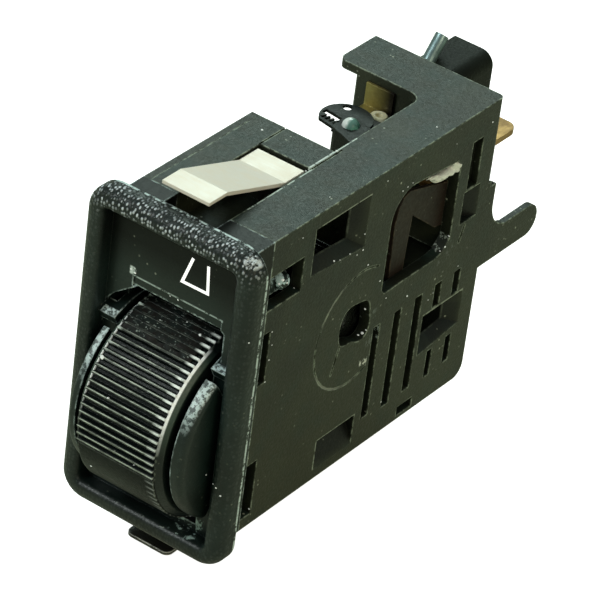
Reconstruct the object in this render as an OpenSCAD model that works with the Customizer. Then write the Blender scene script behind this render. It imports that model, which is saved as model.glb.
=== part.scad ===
// Dimmer rheostat: a snap-in control with a ribbed thumbwheel in a rectangular bezel.
// The origin is the middle of the bezel's back face. X is to the right, Y to the rear, Z up.

/* [Bezel] */
// width of the bezel
bezel_w = 25.6; // [22:0.1:32]
// height of the bezel
bezel_h = 46; // [40:0.5:56]
// how far the bezel stands in front of the panel
bezel_t = 3; // [2:0.1:5]
// radius of the rim's outer edge
rim_round = 1.7; // [0.5:0.1:2.4]
// radius of the rim's inner edge
rim_inner_round = 0.9; // [0.2:0.1:1]
// width of the rim
rim_w = 2.85; // [2.4:0.05:4]
// radius of the recess's corners
recess_corner = 0.8; // [0.3:0.1:2]
// depth of the panel below the rim
recess_depth = 2.4; // [1:0.1:2.8]
// depth of the collar behind the bezel
collar_depth = 4.8; // [3:0.1:8]

/* [Body] */
// width of the body that passes through the panel
body_w = 19.94; // [18:0.02:24]
// top of the body above the middle of the bezel
body_top = 21.4; // [18:0.1:25]
// bottom of the body below the middle of the bezel
body_bottom = 21.5; // [18:0.1:25]
// length of the body behind the panel
body_depth = 53.3; // [45:0.1:65]
// length of the full-height front block
block_depth = 26.4; // [22:0.1:32]
// thickness of the right wall
wall = 1.57; // [1.2:0.01:2.5]
// thickness of the top, bottom and rear walls
shell = 1.5; // [1.2:0.1:2.5]

/* [Thumbwheel] */
// radius over the ribs
wheel_r = 13.45; // [11:0.05:16]
// width of the ribbed band
rib_band = 11.7; // [8:0.1:13]
// ribs in a full turn
rib_count = 80; // [60:1:100]
// height of a rib
rib_h = 0.65; // [0.3:0.05:1]
// wheel axis behind the bezel's back face
wheel_y = 4.03; // [2:0.01:8]
// wheel axis above the middle of the bezel
wheel_z = -6.05; // [-10:0.05:0]

/* [Rotor] */
// teeth on the rotor
rotor_teeth = 53; // [40:1:60]
// radius over the rotor's teeth
rotor_r = 8.9; // [8:0.05:10]
// rotor axis behind the bezel's back face
rotor_y = 25.22; // [22:0.01:28]
// rotor axis above the middle of the bezel
rotor_z = -0.68; // [-4:0.01:4]

/* [Spring clips] */
// width of the clips
clip_w = 7.1; // [5:0.1:9]
// middle of the clips along X
clip_x = -1; // [-3:0.1:3]
// thickness of the spring steel
clip_t = 0.45; // [0.3:0.05:0.8]
// top of the upper clip above the middle of the bezel
upper_lift = 25.05; // [22:0.05:28]
// underside of the lower clip below the middle of the bezel
lower_lift = 28.2; // [23:0.05:30]

/* [Terminals] */
// width of a blade
blade_w = 4.8; // [2.8:0.1:6.3]
// thickness of a blade
blade_t = 0.8; // [0.5:0.1:1]
// tip of the blades behind the bezel's back face
blade_tip = 61.8; // [58:0.1:68]

/* [Hidden] */
$fn = 96;
eps = 0.01;
half_w = body_w / 2;
in_right = half_w - wall;
cover_in = -8.95;
mesh_angle = atan2(rotor_z - wheel_z, rotor_y - wheel_y);
wheel_pitch = 360 / rib_count;
rotor_pitch = 360 / rotor_teeth;
first_rib = -27;
last_rib = 39;
floor_y = recess_depth - bezel_t;
wiper_angle = 150;
track_start = wiper_angle - 172;
track_sweep = 212;
feed_x = 3;
return_x = -0.6;
earth_z = 11.9;
black = [0.13, 0.14, 0.13];
gloss_black = [0.07, 0.08, 0.08];
steel = [0.78, 0.77, 0.73];
brass = [0.76, 0.62, 0.33];
copper = [0.55, 0.38, 0.28];

// a block from its two corners
module block(a, b) {
  translate(a)
    cube([b[0] - a[0], b[1] - a[1], b[2] - a[2]]);
}

// a round bar along X
module bar_x(x0, x1, r) {
  translate([x0, 0, 0])
    rotate([0, 90, 0])
      cylinder(h = x1 - x0, r = r);
}

// a flat outline in Y and Z, made solid from x0 to x1
module along_x(x0, x1) {
  translate([x0, 0, 0])
    rotate([90, 0, 90])
      linear_extrude(height = x1 - x0)
        children();
}

// a flat outline in X and Z, made solid from y0 to y1
module along_y(y0, y1) {
  translate([0, y1, 0])
    rotate([90, 0, 0])
      linear_extrude(height = y1 - y0)
        children();
}

// the rim's cross-section: u outward from the recess, v towards the front
module rim_section() {
  u1 = rim_w;
  v1 = bezel_t;
  union() {
    square([u1, v1 - rim_round]);
    translate([0, v1 - rim_round - eps])
      square([u1 - rim_round, rim_round - rim_inner_round + eps]);
    translate([rim_inner_round, v1 - rim_inner_round - eps])
      square([u1 - rim_round - rim_inner_round, rim_inner_round + eps]);
    intersection() {
      translate([u1 - rim_round, v1 - rim_round])
        circle(r = rim_round);
      translate([u1 - rim_round - eps, v1 - rim_round - eps])
        square([rim_round + 1, rim_round + 1]);
    }
    intersection() {
      translate([rim_inner_round, v1 - rim_inner_round])
        circle(r = rim_inner_round);
      translate([-1, v1 - rim_inner_round - eps])
        square([rim_inner_round + 1 + eps, rim_inner_round + 1]);
    }
  }
}

// one straight side of the rim, standing on the recess's edge, half long each way
module rim_side(half) {
  rotate([90, 0, 0])
    translate([0, 0, -half])
      linear_extrude(height = 2 * half)
        rim_section();
}

// one corner of the rim
module rim_corner() {
  rotate_extrude(angle = 90)
    translate([recess_corner, 0])
      rim_section();
}

// the whole rim, lying with its front upwards
module rim_flat() {
  hx = bezel_w / 2 - rim_w;
  hy = bezel_h / 2 - rim_w;
  for (s = [0, 180]) {
    rotate([0, 0, s])
      translate([hx, 0, 0])
        rim_side(hy - recess_corner);
    rotate([0, 0, s + 90])
      translate([hy, 0, 0])
        rim_side(hx - recess_corner);
  }
  for (k = [[1, 1, 0], [-1, 1, 90], [-1, -1, 180], [1, -1, 270]]) {
    translate([k[0] * (hx - recess_corner), k[1] * (hy - recess_corner), 0])
      rotate([0, 0, k[2]])
        rim_corner();
  }
}

// walls of the pocket that the upper clip sits in, from y0 to y1
module pocket_walls(y0, y1) {
  block([-6.3, y0, body_top - 5.5], [4.7, y1, body_top - shell]);
}

// space of the pocket; its floor rises to a shelf under the clip's tail
module pocket_space(y0, y1) {
  block([-4.75, y0, body_top - 4], [3.2, y1, body_top + 1]);
}

// the arc-shaped guards beside the wheel
module guard(x0, x1, r, from_angle, to_angle) {
  intersection() {
    translate([0, wheel_y, wheel_z])
      difference() {
        bar_x(x0, x1, r);
        bar_x(x0 - 1, x1 + 1, r - 1.5);
      }
    translate([0, wheel_y, wheel_z])
      along_x(x0 - 1, x1 + 1)
        polygon([[0, 0], [-40 * sin(from_angle), 40 * cos(from_angle)],
          [-40 * sin((from_angle + to_angle) / 2), 40 * cos((from_angle + to_angle) / 2)],
          [-40 * sin(to_angle), 40 * cos(to_angle)]]);
  }
}

// cheek that stands beside the wheel and carries the axle
module cheek(x0, x1) {
  difference() {
    union() {
      intersection() {
        translate([0, wheel_y, wheel_z])
          bar_x(x0, x1, 12.1);
        block([x0, -20, -25], [x1, 1.6, 12]);
        translate([0, wheel_y, wheel_z])
          along_x(x0 - 1, x1 + 1)
            polygon([[0, 0], [-40 * sin(33.5), 40 * cos(33.5)], [-40, 0], [-40 * sin(150), 40 * cos(150)]]);
      }
      block([x0, floor_y, wheel_z - 5], [x1, wheel_y, wheel_z + 5]);
      translate([0, wheel_y, wheel_z])
        bar_x(x0, x1, 4.2);
    }
    translate([0, wheel_y, wheel_z])
      bar_x(x0 - 1, x1 + 1, 1.52);
  }
}

module bezel() {
  color(black)
    difference() {
      union() {
        // the rim stands on the panel, its front towards -Y
        rotate([90, 0, 0])
          rim_flat();
        // panel at the bottom of the recess
        block([-bezel_w / 2 + rim_w - 0.3, floor_y, -bezel_h / 2 + rim_w - 0.3], [bezel_w / 2 - rim_w + 0.3, 0, bezel_h / 2 - rim_w + 0.3]);
        block([-8.6, -eps, -20.3], [8.6, 0.9, 20.2]);
        // collar that the housing is pushed on to
        difference() {
          block([-half_w, -eps, -body_bottom], [half_w, collar_depth, body_top]);
          block([-in_right, 0, -body_bottom + shell], [in_right, collar_depth + 1, body_top - shell]);
        }
        pocket_walls(0, collar_depth);
        // lug above the clip's front end
        block([-5.4, -eps, 20.5], [1.2, 0.9, 22.4]);
        cheek_pair();
        // snap arm and its peg in the housing's side window
        block([6.9, 0.5, 11.9], [in_right, 9.3, 14.5]);
        translate([0, 9.3, 13.2])
          bar_x(6.9, in_right, 1.3);
        translate([in_right, 9.3, 13.2])
          sphere(r = 1.15);
      }
      // slot for the wheel: round at the bottom like the wheel, wider at the top, with a shallow step over it
      block([-7.1, -5, -12], [7.1, 2, 4.4]);
      intersection() {
        translate([0, wheel_y, wheel_z])
          bar_x(-7.1, 7.1, 13.75);
        block([-7.1, -5, -21], [7.1, 2, -11]);
      }
      along_y(-5, 2)
        polygon([[-9.9, 4.3], [7.9, 4.3], [7.9, 9.6], [7.3, 10.1], [-5.4, 10.1], [-6.9, 9], [-8.6, 7.75], [-9.9, 6.2]]);
      block([-6.1, -5, 9.9], [7.3, floor_y + 0.2, 11.35]);
      pocket_space(0.9, collar_depth + 1);
    }
  color(black)
    upper_guards();
}

// thicker and farther out in front of the panel, its outer edge rounded
module front_cheek(inner, outer, round) {
  r = 12.1;
  intersection() {
    translate([0, wheel_y, wheel_z])
      rotate([0, 90, 0])
        rotate_extrude() {
          translate([0, inner])
            square([r - round, outer - inner]);
          translate([0, inner])
            square([r, outer - inner - round]);
          translate([r - round, outer - round])
            circle(r = round);
        }
    block([7, -20, -18.5], [10, floor_y + 0.1, 12]);
    translate([0, wheel_y, wheel_z])
      along_x(6, 10)
        polygon([[0, 0], [-40 * sin(33.5), 40 * cos(33.5)], [-40, 0], [-40 * sin(150), 40 * cos(150)]]);
  }
}

module cheek_pair() {
  inner = in_right - 0.1;
  for (s = [-1, 1]) {
    // behind the panel's front
    intersection() {
      cheek(s > 0 ? 7.1 : -inner, s > 0 ? inner : -7.1);
      block([-10, floor_y + 0.05, -25], [10, 20, 12]);
    }
  }
  front_cheek(7.5, 9.2, 0.9);
  mirror([1, 0, 0])
    front_cheek(7.3, 8.35, 0.4);
  for (s = [-1, 1]) {
    block([s > 0 ? inner - eps : -in_right - eps, -eps, wheel_z - 5], [s > 0 ? in_right + eps : -inner + eps, collar_depth, wheel_z + 5]);
  }
}

module upper_guards() {
  for (s = [-1, 1]) {
    intersection() {
      guard(s > 0 ? 7.4 : -9.95, s > 0 ? 9.95 : -7.4, 12.6, 27.5, -18);
      union() {
        block([-9.96, -6, 0], [9.96, 0.3, 12]);
        block([-in_right - 0.3, -6, 0], [in_right + 0.3, collar_depth, 12]);
      }
    }
  }
}

// a wedge cut out of the right wall: it starts at its bottom edge, and gets deeper upwards
module ramp_cut(y0, y1, z0, z1, rise, lean) {
  intersection() {
    block([half_w - 4.5, y0, z0 - 1.5], [half_w + 1, y1, z1]);
    translate([half_w, y0, z0])
      rotate([0, -rise, -lean])
        translate([0, -30, -30])
          cube([20, 80, 60]);
  }
}

// the same with a rear end that runs out to the surface
module scoop_cut(y0, y1, z0, z1, rise, lean) {
  intersection() {
    ramp_cut(y0, y1, z0, z1, rise, lean);
    translate([half_w, y1, z0])
      rotate([0, 0, 56])
        translate([-30, -60, -30])
          cube([60, 60, 60]);
  }
}

// how far the half-moon hole's edge is from its middle at the angle a
function moon_r(a) = 3.32 + 0.16 * cos(a - 95) + 0.37 * cos(2 * a + 60) + 0.18 * cos(3 * a + 140) + 0.26 * cos(4 * a - 165);

// an upright slot through the right wall
module vent(y, w, z0, z1) {
  block([in_right - 0.5, y - w / 2, z0], [half_w + 1, y + w / 2, z1]);
}

module side_openings() {
  x1 = half_w + 1;
  // ramps
  scoop_cut(13.5, 24.8, 12.4, 19.2, 46, -4);
  scoop_cut(41.3, 50.4, -12.9, -6.7, 50, 8);
  ramp_cut(20, 28.1, -20, -15.5, 23, 0);
  // window for the bezel's snap arm, and the gaps at the joint with the bezel
  block([in_right - 0.5, collar_depth - 1, 11.3], [x1, 11.6, 16.2]);
  block([in_right - 0.5, collar_depth - 1, 0.4], [x1, 6.2, 8]);
  block([in_right - 0.5, collar_depth - 1, -19.8], [x1, 6.9, -11.6]);
  // window with the rounded front top corner
  along_x(in_right - 0.5, x1) {
    polygon([[30.3, 2.5], [30.3, 12], [34.7, 16.4], [44.2, 15.6], [45, 14.8], [45, 3.7], [43.4, 2.1], [42, 1.8], [34.3, 1.8], [31.1, 1.7]]);
    translate([34.6, 12.1])
      circle(r = 4.3);
  }
  // fine ring over the rotor, and the half-moon hole inside it
  arc_bar(half_w - 0.14, x1, 8.34, 8.52, 64, 232);
  along_x(in_right - 0.5, x1)
    translate([25.2, -0.2])
      polygon([for (a = [0:7.5:359]) [moon_r(a) * cos(a), moon_r(a) * sin(a)]]);
  // line that runs down from the half-moon hole
  translate([0, 22.3, -2])
    rotate([-17, 0, 0])
      block([half_w - 0.2, -0.16, -4.2], [x1, 0.16, 0.3]);
  // vents
  vent(30.4, 1.5, -17, -2.9);
  vent(35, 1.6, -17.5, -2.7);
  vent(39.6, 1.6, -17.3, -2.7);
  vent(44, 1.5, -6.35, -2.7);
  vent(48.3, 1.5, -6.35, -2.7);
  vent(44.3, 1.2, -17.5, -13.3);
  vent(48.5, 1.3, -17.2, -13);
  // notch in the lower edge
  block([half_w - 1.2, 38.3, -20.9], [x1, 41.7, -19.5]);
  // upright grooves at the rear top
  block([half_w - 1.1, 47.3, 9.9], [x1, 49.6, 17]);
  translate([0, 46.9, 4.8])
    linear_extrude(height = 4.8)
      polygon([[half_w - 1.4, 0], [half_w - 1.4, 1.6], [half_w + 0.1, 3.9], [half_w + 0.1, 0]]);
  translate([half_w - 0.4, 47.8, 3.1])
    rotate([-20, 0, 0])
      cube([2, 0.45, 2.6], center = true);
}

// arm at the rear that guides the plug: a step, a hollow curve and a round end
module rear_arm() {
  along_x(half_w - 0.9, half_w)
    difference() {
      union() {
        translate([body_depth - 1, -4.7])
          square([64.2 - body_depth + 1, 4.7]);
        translate([body_depth - 1, -1])
          square([5.9, 5.6]);
        translate([body_depth - 1, 4])
          square([54.6 - body_depth + 1, 3.8]);
        translate([64.2, -2.35])
          circle(r = 2.35);
      }
      translate([59.2, 4.6])
        circle(r = 4.6);
    }
}

module housing() {
  color(black)
    difference() {
      union() {
        difference() {
          block([cover_in, collar_depth, -body_bottom], [half_w, block_depth, body_top]);
          block([cover_in - 1, collar_depth - 1, -body_bottom + shell], [in_right, block_depth - 1.4, body_top - shell]);
          block([cover_in - 1, block_depth - 2, -body_bottom + shell], [in_right, block_depth + 1, 9.3]);
        }
        pocket_walls(collar_depth, block_depth - 1);
        // right wall, floor and rear wall behind the block
        block([in_right, block_depth - eps, -body_bottom], [half_w, body_depth, body_top]);
        block([cover_in, block_depth - eps, -body_bottom], [half_w, body_depth, -body_bottom + shell]);
        block([cover_in, body_depth - 1.4, -body_bottom], [half_w, body_depth, 6.5]);
        block([-7.35, body_depth - 1.4, 6], [half_w, body_depth, body_top - 1]);
        // spine along the top of the right wall
        block([2.75, block_depth - 2, body_top - 1.6], [half_w, 45.5, body_top]);
        // box at the rear with its overhanging top
        difference() {
          block([-10.36, 45.2, body_top - 1.2], [half_w, body_depth, body_top]);
          block([-12, 45, body_top - 2], [-9.16, 46.4, body_top + 1]);
        }
        translate([-9.16, 46.4, body_top - 1.2])
          cylinder(h = 1.2, r = 1.2);
        // rounded inner corner between the box and the spine
        difference() {
          block([0.75, 43.2, body_top - 1.2], [2.76, 45.21, body_top]);
          translate([0.75, 43.2, body_top - 2])
            cylinder(h = 3, r = 2);
        }
        block([-7.35, 45.2, 1], [half_w, 46.6, body_top - 1]);
        block([-7.35, 45.2, 5], [-5.95, body_depth, body_top - 1]);
        block([cover_in, 45.2, 5], [-5.95, body_depth, 6.5]);
        rear_arm();
      }
      // pocket of the upper clip: deep in front, a shelf at the rear, a bar across the tail
      pocket_space(collar_depth - 1, 16);
      block([-4.75, 15.9, body_top - 0.8], [3.2, 20.9, body_top + 1]);
      block([-4.75, 20.5, body_top - 1.65], [3.2, 24.6, body_top - 0.95]);
      block([-4.75, 20.1, body_top - 1.65], [3.2, 21.1, body_top + 1]);
      // fine lines round the bar
      block([-4.85, 21, body_top - 0.2], [-4.65, block_depth + 1, body_top + 1]);
      block([3.1, 21, body_top - 0.2], [3.3, block_depth + 1, body_top + 1]);
      // seat of the lower clip, with a bar left across its tail
      block([-5.2, collar_depth - 1, -body_bottom - 1], [2.4, 20.8, -body_bottom + 1.05]);
      block([-5.2, 20.7, -body_bottom + 0.48], [2.4, 24.8, -body_bottom + 1.05]);
      block([-5.2, 22.8, -body_bottom - 1], [2.4, 24.8, -body_bottom + 1.05]);
      side_openings();
      // rounded lower rear edge
      difference() {
        block([cover_in - 1, body_depth - 2, -body_bottom - 1], [half_w + 1, body_depth + 1, -body_bottom + 2]);
        translate([0, body_depth - 2, -body_bottom + 2])
          bar_x(cover_in - 2, half_w + 2, 2);
      }
      // rounded upright corner at the rear right
      difference() {
        block([half_w - 0.8, body_depth - 0.8, 8.6], [half_w + 1, body_depth + 1, body_top + 1]);
        translate([half_w - 0.8, body_depth - 0.8, 8])
          cylinder(h = 20, r = 0.8);
      }
      // ways for the blades through the rear wall and the partition
      block([feed_x - 0.05, 45, 11.55], [feed_x + blade_w + 0.05, body_depth + 1, 12.45]);
      block([6.2, 45, 11.55], [in_right, 46.8, 13.7]);
      block([return_x - 0.05, body_depth - 3, 2.95], [return_x + blade_w + 0.05, body_depth + 1, 3.85]);
      block([-1.45, body_depth - 3, earth_z - 0.05], [-0.55, body_depth + 1, earth_z + blade_w + 0.05]);
      // hole of the rear pin
      pin_place()
        cylinder(h = 8, r = 0.93);
    }
}

module side_cover() {
  color(black)
    difference() {
      union() {
        block([-half_w, collar_depth, -body_bottom], [cover_in, block_depth, body_top]);
        block([-half_w, block_depth - eps, -body_bottom], [cover_in, body_depth, 6.5]);
        // boss that holds the rotor's shaft and the resistor
        translate([0, rotor_y, rotor_z])
          bar_x(cover_in - eps, -6, 7.4);
        // ribs between the boss and the plate's edges
        block([cover_in - eps, rotor_y + 6.5, rotor_z - 0.6], [cover_in + 1.2, rotor_y + 22, rotor_z + 0.6]);
      }
      translate([0, rotor_y, rotor_z])
        bar_x(-9.4, -5, 1.25);
      difference() {
        block([-half_w - 1, body_depth - 2, -body_bottom - 1], [cover_in + 1, body_depth + 1, -body_bottom + 2]);
        translate([0, body_depth - 2, -body_bottom + 2])
          bar_x(-half_w - 2, cover_in + 2, 2);
      }
    }
}

// outline of one wheel rib: root and crest points at the angle a
function rib(a) = [for (p = [[wheel_r - rib_h, -1.32], [wheel_r, -0.62], [wheel_r, 0.62], [wheel_r - rib_h, 1.32]])
  [p[0] * cos(a + p[1]), p[0] * sin(a + p[1])]];

module wheel_outline() {
  ribs = [for (i = [first_rib:last_rib]) each rib(mesh_angle + i * wheel_pitch)];
  from = mesh_angle + last_rib * wheel_pitch + 2.25;
  to = mesh_angle + first_rib * wheel_pitch + 357.75;
  smooth = [for (k = [0:44]) [(wheel_r - 0.15) * cos(from + (to - from) * k / 44), (wheel_r - 0.15) * sin(from + (to - from) * k / 44)]];
  polygon(concat(ribs, smooth));
}

module thumbwheel() {
  half = rib_band / 2;
  color(gloss_black)
    translate([0, wheel_y, wheel_z])
      difference() {
        union() {
          along_x(-half, half)
            wheel_outline();
          // smooth chamfered ends
          for (s = [-1, 1]) {
            translate([s * half, 0, 0])
              rotate([0, s * 90, 0])
                cylinder(h = 0.75, r1 = wheel_r - 0.35, r2 = wheel_r - 1.1);
          }
          bar_x(-6.95, 6.95, 3);
        }
        // hollow ends around the hub
        for (s = [-1, 1]) {
          translate([s * 6.7, 0, 0])
            rotate([0, -s * 90, 0])
              difference() {
                cylinder(h = 4.6, r = 10.2);
                translate([0, 0, -1])
                  cylinder(h = 7, r = 3);
              }
        }
        bar_x(-8, 8, 1.54);
      }
}

module wheel_axle() {
  color(steel)
    translate([0, wheel_y, wheel_z])
      bar_x(-in_right + 0.13, in_right - 0.13, 1.5);
}

// outline of one rotor tooth at the angle a
function tooth(a) = [for (p = [[rotor_r - 0.7, -2.03], [rotor_r, -0.71], [rotor_r, 0.71], [rotor_r - 0.7, 2.03]])
  [p[0] * cos(a + p[1]), p[0] * sin(a + p[1])]];

module rotor() {
  color(gloss_black)
    translate([0, rotor_y, rotor_z])
      difference() {
        union() {
          along_x(-1, 5.5)
            polygon([for (i = [0:rotor_teeth - 1]) each tooth(mesh_angle + 180 + (i + 0.5) * rotor_pitch)]);
          bar_x(5.49, 7.6, 7.8);
          // domed boss behind the half-moon hole
          intersection() {
            bar_x(7, 9, 4.5);
            translate([-2.85, 0, 0])
              sphere(r = 11);
          }
        }
        bar_x(-2, 7.2, 1.29);
        // ring-shaped hollow in the outer face
        difference() {
          bar_x(6.4, 9, 6.6);
          bar_x(6, 10, 4.5);
        }
      }
}

module rotor_shaft() {
  color(steel)
    translate([0, rotor_y, rotor_z])
      bar_x(-9.35, 7.1, 1.25);
}

// spring arm that turns with the rotor, its contact on the winding
module wiper() {
  color(brass)
    translate([0, rotor_y, rotor_z])
      difference() {
        union() {
          bar_x(-1.4, -1, 3.2);
          rotate([wiper_angle, 0, 0])
            block([-1.4, 0, -1.1], [-1, 7.2, 1.1]);
          rotate([wiper_angle, 0, 0])
            translate([-2.7, 6.5, 0])
              rotate([0, 90, 0])
                cylinder(h = 1.5, r1 = 0.5, r2 = 0.7);
        }
        bar_x(-3, 0, 1.29);
      }
}

// an arc-shaped bar around the rotor's axis
module arc_bar(x0, x1, r0, r1, start, sweep) {
  translate([0, rotor_y, rotor_z])
    rotate([0, 90, 0])
      rotate([0, 0, 90])
        rotate([0, 0, start])
          rotate_extrude(angle = sweep)
            translate([r0, x0])
              square([r1 - r0, x1 - x0]);
}

module resistor_former() {
  color([0.72, 0.68, 0.6])
    arc_bar(-6, -3.2, 5.7, 7.3, track_start, track_sweep);
}

module resistance_winding() {
  color(copper)
    difference() {
      arc_bar(-5.6, -2.85, 5.35, 7.65, track_start + 6, track_sweep - 12);
      arc_bar(-7, -3.18, 5.68, 7.32, track_start, track_sweep);
    }
}

// side view of a clip: front flap, slope and tail, as a strip of even thickness
module clip_profile(front, crest, foot, lift, low) {
  t = clip_t;
  polygon([[front, lift - t], [crest - 0.15, lift - t], [foot - 0.15, low - t], [24.3, low - t], [24.3, low], [foot + 0.05, low],
    [crest + 0.05, lift], [front, lift]]);
}

// the upper clip's tail steps down under the bar
module upper_clip_profile() {
  t = clip_t;
  low = body_top - 0.35;
  under = body_top - 1.1;
  polygon([[1, upper_lift - t], [4.35, upper_lift - t], [16.5, low - t], [20.3, low - t], [20.75, under - t], [24.3, under - t],
    [24.3, under], [21, under], [20.5, low], [16.7, low], [4.55, upper_lift], [1, upper_lift]]);
}

module upper_clip() {
  color([0.9, 0.88, 0.82])
    along_x(clip_x - clip_w / 2, clip_x + clip_w / 2)
      upper_clip_profile();
}

module lower_clip() {
  color(steel)
    mirror([0, 0, 1])
      difference() {
        along_x(-4.8, 2)
          clip_profile(1.6, 5.15, 17.55, lower_lift, body_bottom - 0.55);
        // rounded front corners
        for (x = [-4.8, 2]) {
          inward = x < 0 ? 1 : -1;
          difference() {
            block([min(x - inward, x + inward), 1.5, 20], [max(x - inward, x + inward), 2.6, 40]);
            translate([x + inward, 2.6, 19])
              cylinder(h = 22, r = 1);
          }
        }
      }
}

// thin round cap with a comb at its front left, and the box of the bulb socket
module bulb_holder() {
  cx = -3.95;
  cy = 38.7;
  color(gloss_black)
    difference() {
      union() {
        difference() {
          translate([cx, cy, 17.6])
            cylinder(h = 0.4, r = 3.5);
          // straight front left edge, the window and the gaps between the comb's teeth
          translate([0, 0, 16])
            linear_extrude(height = 4)
              polygon([[-8, 36.5], [-3.75, 35.7], [-3.75, 33], [-8, 33]]);
          translate([cx - 3.1, 37.75, 16])
            rotate([0, 0, -7])
              cube([2.75, 0.85, 4]);
          for (k = [0:3]) {
            translate([-6.55 + k * 0.66, 36.75 - k * 0.1, 16])
              rotate([0, 0, -22])
                cube([0.42, 1.2, 4]);
          }
          translate([cx - 1.4, cy + 2.2, 16])
            cylinder(h = 3, r = 0.62);
        }
        translate([0, 0, 14.4])
          linear_extrude(height = 4)
            socket_plan();
      }
      socket_bore();
    }
}

// seen from above: the rounded left corner, the front edge and the part under the spine
module socket_plan() {
  polygon([[-3.6, 35.6], [-3.1, 35], [-0.1, 33.95], [4.4, 33.8], [4.4, 38], [-2.2, 38.6], [-3.75, 37.2]]);
  translate([-2.8, 36.1])
    circle(r = 1.1);
}

module socket_bore() {
  translate([-2.2, 37.2, 15.2])
    cylinder(h = 4, r = 1.22);
}

module bulb() {
  color([0.85, 0.9, 0.88, 0.6])
    translate([-2.2, 37.2, 15.2]) {
      cylinder(h = 2.95, r = 1.2);
      translate([0, 0, 2.95])
        sphere(r = 1.2);
    }
}

// ledge from the right wall that the bulb holder lies on
module holder_bracket() {
  color(gloss_black) {
    block([4.4, 34.6, 16.6], [in_right, 41.6, 17.6]);
    block([-1.9, 39.3, 16.6], [4.5, 41.6, 17.6]);
  }
}

module contact_strip() {
  color(brass) {
    block([-5.5, 44.8, 16.8], [-1.2, 45.18, 20.1]);
    difference() {
      block([-5.5, 42, 16.5], [-0.4, 45.18, 16.9]);
      translate([-2.15, 43.45, 16])
        cylinder(h = 2, r = 0.8);
    }
  }
}

module contact_eyelet() {
  color(brass)
    translate([-2.15, 43.45, 0])
      difference() {
        union() {
          translate([0, 0, 16.9])
            cylinder(h = 0.35, r1 = 1.3, r2 = 1.05);
          translate([0, 0, 16.2])
            cylinder(h = 0.9, r = 0.78);
          translate([0, 0, 16.2])
            cylinder(h = 0.3, r = 1.15);
        }
        translate([0, 0, 16])
          cylinder(h = 2, r = 0.5);
      }
}

// one push-on blade with a rounded tip, pointing to the rear
module blade(x0, x1, y0, z0) {
  r = 1.6;
  difference() {
    block([x0, y0, z0], [x1, blade_tip, z0 + blade_t]);
    for (s = [0, 1]) {
      difference() {
        block([s == 0 ? x0 - 1 : x1 - r, blade_tip - r, z0 - 1], [s == 0 ? x0 + r : x1 + 1, blade_tip + 1, z0 + 2]);
        translate([s == 0 ? x0 + r : x1 - r, blade_tip - r, z0 - 2])
          cylinder(h = 5, r = r);
      }
    }
  }
}

module feed_blade() {
  color(brass) {
    blade(feed_x, feed_x + blade_w, body_depth - 4, 11.6);
    block([5.4, 41.6, 11.6], [feed_x + blade_w, body_depth - 3.9, 12.4]);
  }
}

// brown insulating plate on the inside of the right wall: a strip beside the window and an arm behind it
module terminal_plate() {
  color([0.3, 0.24, 0.18])
    along_x(in_right - 0.6, in_right)
      polygon([[34.2, 0.4], [33.8, 9.8], [34.3, 12.2], [35.1, 13.4], [36.3, 13.9], [45.1, 11.5], [45.1, 5], [43.4, 5.3], [37.7, 9.7],
        [37.4, 5.8], [37.1, 0.4]]);
}

module return_blade() {
  color(brass)
    blade(return_x, return_x + blade_w, body_depth - 6, 3);
}

module earth_blade() {
  color(brass)
    translate([-0.6, 0, earth_z])
      rotate([0, -90, 0])
        blade(0, blade_w, body_depth - 6, 0);
}

// shroud of the rear connector, open to the rear
module connector_shroud() {
  color(black)
    difference() {
      union() {
        block([-4, body_depth, 8.6], [2.3, 62.3, 18.6]);
        block([-4, body_depth, 18.5], [0.3, 62.3, 20.6]);
        intersection() {
          translate([0.3, body_depth, 18.6])
            rotate([-90, 0, 0])
              cylinder(h = 62.3 - body_depth, r = 2);
          block([0.2, body_depth, 18.5], [3, 63, 21]);
        }
      }
      block([-3, 54.6, 9.7], [1.2, 63, 18.8]);
      pin_place()
        cylinder(h = 8.8, r = 0.93);
      block([-1.45, body_depth - 1, earth_z - 0.05], [-0.55, 56, earth_z + blade_w + 0.05]);
    }
}

// from the rear wall's inside upwards and to the rear, through the top of the shroud
module pin_place() {
  translate([-2.8, 54.95, 20.85])
    rotate([-41, 0, 0])
      translate([0, 0, -5.6])
        children();
}

module rear_pin() {
  color(steel)
    pin_place()
      cylinder(h = 8.8, r = 0.92);
}

// lumps of solder along the feed blade's inner end
module solder_joint() {
  lumps = [[7.45, 42.4, 0.8], [7.3, 43.5, 1], [7.4, 44.6, 0.9], [7.3, 45.7, 1], [7.4, 46.8, 0.8]];
  color([0.88, 0.88, 0.86])
    difference() {
      for (k = lumps) {
        translate([k[0], k[1], 12.4])
          sphere(r = k[2]);
      }
      block([5, 40, 10], [9, 50, 12.41]);
    }
}

bezel();
housing();
side_cover();
thumbwheel();
wheel_axle();
rotor();
rotor_shaft();
wiper();
resistor_former();
resistance_winding();
terminal_plate();
upper_clip();
lower_clip();
bulb_holder();
bulb();
holder_bracket();
contact_strip();
contact_eyelet();
feed_blade();
return_blade();
earth_blade();
connector_shroud();
rear_pin();
solder_joint();
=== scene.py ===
import bpy
import bmesh
from math import cos, sin, pi, radians
from mathutils import Matrix, Vector, noise


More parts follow.
